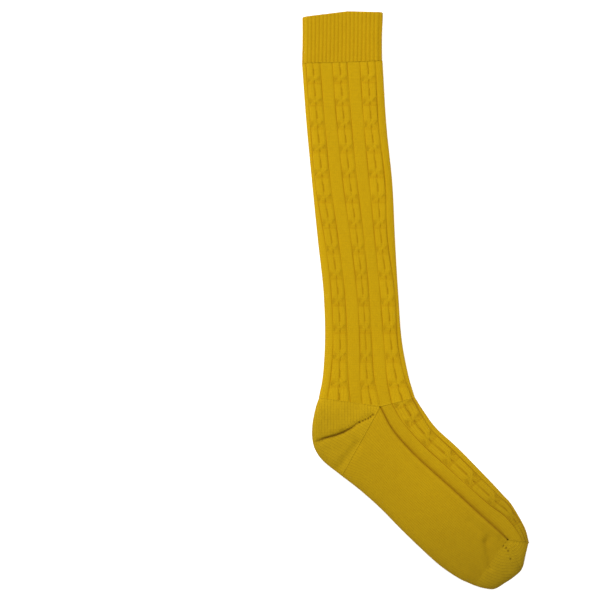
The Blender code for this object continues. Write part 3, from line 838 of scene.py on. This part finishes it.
def pocket_grids(rows, first, last, upper_corner, lower_corner, rings):
    """Outside and inside grids of a pocket between its two end points on the fold."""
    shares = np.concatenate([[0], rows[:, 0], [1]])
    fold = np.concatenate([[first], foot_points(rows[:, 1:]), [last]])
    trim = PIECE_GAP / 2 / length(np.diff(fold, axis=0)).sum()
    back = smooth_rows(shares, fold, np.linspace(trim, 1 - trim, rings))
    upper = pocket_corner(upper_corner, first, last)
    lower = pocket_corner(lower_corner, first, last)
    round_shares = np.linspace(0, 1, POCKET_COLUMNS + 1)
    outer = pocket_rings(back, upper, lower, 0, round_shares)
    inner = pocket_rings(back, upper, lower, WALL, round_shares)
    return outer, inner, back, upper, lower, round_shares


print("columns round a pocket:", POCKET_COLUMNS)

# %% Holes and lines of a gore
EYELET_RADIUS = 0.00085
EYELET_SHADE = 0.9


def drawn_line(points, line, strengths, width):
    """Nearness from 0 to 1 to a line in plan, times the strength along it, on the upper layer alone."""
    near = np.zeros(points.shape[:-1])
    for i in range(len(line) - 1):
        away, share = away_from(points, line[i], line[i + 1])
        strength = strengths[i] + share * (strengths[i + 1] - strengths[i])
        near = np.maximum(near, strength * np.exp(-(away / width) ** 2))
    return near * np.clip(2 * upper_share(points), 0, 1)


def eyelets(points, places):
    """Nearness from 0 to 1 to the nearest of a few small holes in plan, on the upper layer alone."""
    near = np.zeros(points.shape[:-1])
    for place in places:
        near = np.maximum(near, np.exp(-(length(points[..., :2] - place) / EYELET_RADIUS) ** 2))
    return near * np.clip(2 * upper_share(points), 0, 1)


print("eyelet radius:", EYELET_RADIUS * 1000, "mm")

# %% Knit the heel
HEEL_RINGS = 130
GORE_DEPTH = 0.0012
GORE_WIDTH = 0.0010
HEEL_GORE = np.array([
    # along, across, strength
    (-0.091, 0.745, 0.20),
    (-0.085, 0.711, 0.55),
    (-0.073, 0.638, 0.85),
    (-0.051, 0.547, 1.00),
    (-0.036, 0.466, 1.00),
    (-0.023, 0.367, 0.75),
    (-0.019, 0.300, 0.45),
    (-0.014, 0.262, 0.25),
])
HEEL_EYELETS = np.array([
    # along, across
    (-0.016, 0.268),
    (-0.010, 0.235),
    (-0.006, 0.208),
    (-0.001, 0.180),
    (0.001, 0.150),
    (0.003, 0.118),
])

leg_end = leg_lines[-1]
foot_start = foot_lines[0]
outer, inner, back, corner, under, shares = pocket_grids(
    HEEL_ROWS, leg_end[0], foot_start[0], foot_start[1], foot_start[3], HEEL_RINGS)
sole_way = (foot_start[0] - foot_start[1]) / length(foot_start[0] - foot_start[1])
uv = pocket_stitches(back, corner, under, shares, np.array([-1.0, 0.0]), sole_way, True)
gore = drawn_line(outer, foot_points(HEEL_GORE), HEEL_GORE[:, 2], GORE_WIDTH)
holes = eyelets(outer, foot_points(HEEL_EYELETS))
# Painted shade along the gore and in the eyelets; the same mask also sinks the cloth there.
painted_shade = np.clip(gore + EYELET_SHADE * holes, 0, 1)
cut_size(outer, False)
cloth_area(outer, False)
inside = shape_cloth(inner, -GORE_DEPTH * gore, False)
heel = knitted_wall("heel_pocket", shape_cloth(outer, -GORE_DEPTH * painted_shade, False), inside, uv, painted_shade, False)

# %% Knit the toe
TOE_RINGS = 150
SEAM_RISE = 0.0006
SEAM_WIDTH = 0.0012
TOE_EYELET_SHARE = 0.7
TOE_EYELET_SHADE = 0.8
TOE_EYELETS = np.array([
    # along, across
    (0.748, 0.155),
    (0.762, 0.150),
    (0.776, 0.156),
    (0.805, 0.202),
])

foot_end = foot_lines[-1]
outer, inner, back, corner, under, shares = pocket_grids(
    TOE_ROWS, foot_end[0], foot_end[2], foot_end[1], foot_end[3], TOE_RINGS)
sole_way = (foot_end[0] - foot_end[1]) / length(foot_end[0] - foot_end[1])
tip_way = (foot_end[2] - foot_end[1]) / length(foot_end[2] - foot_end[1])
uv = pocket_stitches(back, corner, under, shares, sole_way, tip_way, False)
to_seam, _ = away_from(outer, foot_end[1], foot_end[2])
seam = np.exp(-(to_seam / SEAM_WIDTH) ** 2)
holes = eyelets(outer, foot_points(TOE_EYELETS))
cut_size(outer, False)
cloth_area(outer, False)
height = SEAM_RISE * seam - GORE_DEPTH * TOE_EYELET_SHARE * holes
inside = shape_cloth(inner, np.zeros(inner.shape[:2]), False)
# Painted shade in the eyelets.
painted_shade = TOE_EYELET_SHADE * holes
toe = knitted_wall("toe_pocket", shape_cloth(outer, height, False), inside, uv, painted_shade, False)

# %% [markdown]
# ## The yarn
#
# The yarn is soft combed cotton, dyed a strong mustard yellow, with a matt face and a little fuzz. Its
# stitches could be modelled one by one, but a sock has thousands, so the shader draws them: each wale is a
# row of small Vs, two slanting legs a stitch. The legs raise a bump, and the gaps between them get painted shade.
# Shader sums are easier to read as Python, so a small class wraps a socket.

# %% A socket that can be added and multiplied
class Wire:
    """A socket of a yarn's node tree. Python sums on it add Math nodes."""

    def __init__(self, tree, socket=None):
        self.tree = tree
        self.socket = socket

    def node(self, kind, settings, inputs, output=0):
        """Add a node: its settings first, then the values or links of its sockets."""
        made = self.tree.nodes.new(kind)
        for name, value in settings.items():
            setattr(made, name, value)
        for name, value in inputs.items():
            if isinstance(value, Wire):
                self.tree.links.new(value.socket, made.inputs[name])
            else:
                made.inputs[name].default_value = value
        return Wire(self.tree, made.outputs[output])

    def sum(self, operation, *values):
        """One Math node on up to three values."""
        return self.node("ShaderNodeMath", {"operation": operation}, dict(enumerate(values)))

    def __add__(self, other):
        return self.sum("ADD", self, other)

    def __radd__(self, other):
        return self.sum("ADD", other, self)

    def __sub__(self, other):
        return self.sum("SUBTRACT", self, other)

    def __rsub__(self, other):
        return self.sum("SUBTRACT", other, self)

    def __mul__(self, other):
        return self.sum("MULTIPLY", self, other)

    def __rmul__(self, other):
        return self.sum("MULTIPLY", other, self)

    def __pow__(self, other):
        return self.sum("POWER", self, other)

    def __rpow__(self, other):
        return self.sum("POWER", other, self)


print("sums:", [name for name in vars(Wire) if name.startswith("__r")])


# %% [markdown]
# ## Stitches, fuzz and colour
#
# Across a wale x runs from 0 in the middle to 1 at its edge. A leg's height is a half sine over x, times a
# cosine along the course number that slants with x, which makes the V. Fine noise gives the fuzz, and a
# broad one the uneven dye. The hollows are painted a deeper, more orange colour: painted shade, and painted
# bounced light from strand to strand.

# %% Finish of one yarn
STITCH_HEIGHT = 0.0005
SLANT = 0.55
BROAD, MIDDLING, FINE = 90.0, 330.0, 1400.0
# Colour that the painted shade over the foot mixes towards.
FOOT_SHADE_COLOUR = (0.03, 0.03, 0.004, 1.0)
FINISH = {
    "Roughness": 0.85,
    "Specular IOR Level": 0.04,
    "Sheen Weight": 0.03,
    "Sheen Roughness": 0.5,
    "Sheen Tint": (1.0, 0.85, 0.35, 1.0),
}


def knit_yarn(name, colour, deep, wale_gap_shade):
    """The yarn's material: its open colour, its colour of painted shade in hollows, and how much painted shade the
    wale gaps get.

    Sockets 6 and 7 of a Mix node that mixes colours are its two colours, and its output 2 is their mix.
    """
    material = bpy.data.materials.new(name)
    material.use_nodes = True
    tree = material.node_tree
    shader = tree.nodes["Principled BSDF"]
    start = Wire(tree)
    place = start.node("ShaderNodeUVMap", {"uv_map": "stitches"}, {})
    wale = start.node("ShaderNodeSeparateXYZ", {}, {"Vector": place})
    course = Wire(tree, wale.socket.node.outputs["Y"])
    here = start.node("ShaderNodeTexCoord", {}, {}, "Object")
    # Painted shade of grooves and hollows, and painted shade over the foot, both stored on the points.
    hollow_shade = start.node("ShaderNodeAttribute", {"attribute_name": "painted_shade"}, {}, "Fac")
    foot_shade = start.node("ShaderNodeAttribute", {"attribute_name": "painted_foot_shade"}, {}, "Fac")
    broad = start.node("ShaderNodeTexNoise", {}, {"Vector": here, "Scale": BROAD, "Detail": 3.0}, "Fac")
    middling = start.node("ShaderNodeTexNoise", {}, {"Vector": here, "Scale": MIDDLING, "Detail": 2.0}, "Fac")
    fine = start.node("ShaderNodeTexNoise", {}, {"Vector": here, "Scale": FINE, "Detail": 2.0}, "Fac")
    wander = wale + (broad - 0.5) * 0.35 + (middling - 0.5) * 0.15
    across = start.sum("ABSOLUTE", start.sum("FRACT", wander) * 2 - 1)
    leg = start.sum("SINE", across * math.pi)
    beat = start.sum("COSINE", (course + across * SLANT + (fine - 0.5) * 0.2) * (2 * math.pi)) * 0.5 + 0.5
    stitch = leg ** 0.6 * (beat * 0.55 + 0.45)
    edge = across ** 4
    bump_height = stitch * 0.75 + fine * 0.25
    # Painted shade: grooves and hollows dotted by course, the gaps between wales and between a stitch's legs;
    # uneven is the dye's random unevenness.
    dotted = hollow_shade * (1.15 - 0.35 * beat)
    uneven = (0.5 - broad) * 0.25 + (0.5 - middling) * 0.30 + (0.5 - fine) * 0.15
    shade_share = dotted + edge * wale_gap_shade + (1 - stitch) * 0.10 + uneven
    clipped = start.node("ShaderNodeClamp", {}, {"Value": shade_share})
    mixed = start.node(
        "ShaderNodeMix", {"data_type": "RGBA"}, {"Factor": clipped, 6: colour, 7: deep}, 2)
    # Painted shade over the foot, darker towards the toe and the sole's edge.
    foot_shaded = start.node(
        "ShaderNodeMix", {"data_type": "RGBA"}, {"Factor": foot_shade, 6: mixed, 7: FOOT_SHADE_COLOUR}, 2)
    bump = start.node(
        "ShaderNodeBump", {}, {"Strength": 0.9, "Distance": STITCH_HEIGHT, "Height": bump_height}, "Normal")
    tree.links.new(foot_shaded.socket, shader.inputs["Base Color"])
    tree.links.new(bump.socket, shader.inputs["Normal"])
    for name_of_socket, value in FINISH.items():
        shader.inputs[name_of_socket].default_value = value
    print(name, "nodes:", len(tree.nodes))
    return material


# %% Dress the pieces
YARNS = {
    # piece: open colour, colour of the painted shade in hollows, strength of the painted shade in the gaps between
    # wales
    "cuff_rib": ((0.430, 0.256, 0.0028, 1.0), (0.330, 0.165, 0.0006, 1.0), 0.05),
    "leg_knit": ((0.452, 0.274, 0.0028, 1.0), (0.350, 0.175, 0.0006, 1.0), 0.25),
    "heel_pocket": ((0.452, 0.276, 0.0040, 1.0), (0.150, 0.070, 0.0010, 1.0), 0.26),
    "foot_knit": ((0.452, 0.275, 0.0034, 1.0), (0.300, 0.145, 0.0008, 1.0), 0.50),
    "toe_pocket": ((0.452, 0.276, 0.0040, 1.0), (0.150, 0.075, 0.0010, 1.0), 0.30),
}
NODES = {
    # piece: CAD node that it stands for, with the material slot of the record
    "cuff_rib": ("cuff", "cuff_yarn"),
    "leg_knit": ("leg", "leg_yarn"),
    "heel_pocket": ("heel", "heel_yarn"),
    "foot_knit": ("foot", "foot_yarn"),
    "toe_pocket": ("toe", "toe_yarn"),
}

for piece in (cuff, leg, heel, foot, toe):
    open_colour, painted_shade_colour, wale_gap_shade = YARNS[piece.name]
    piece.data.materials.append(knit_yarn(piece.name + "_yarn", open_colour, painted_shade_colour, wale_gap_shade))
    node, slot = NODES[piece.name]
    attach(piece, "root")
    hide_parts(node)

# %% [markdown]
# The dressed sock may stand only a little proud of the CAD box.
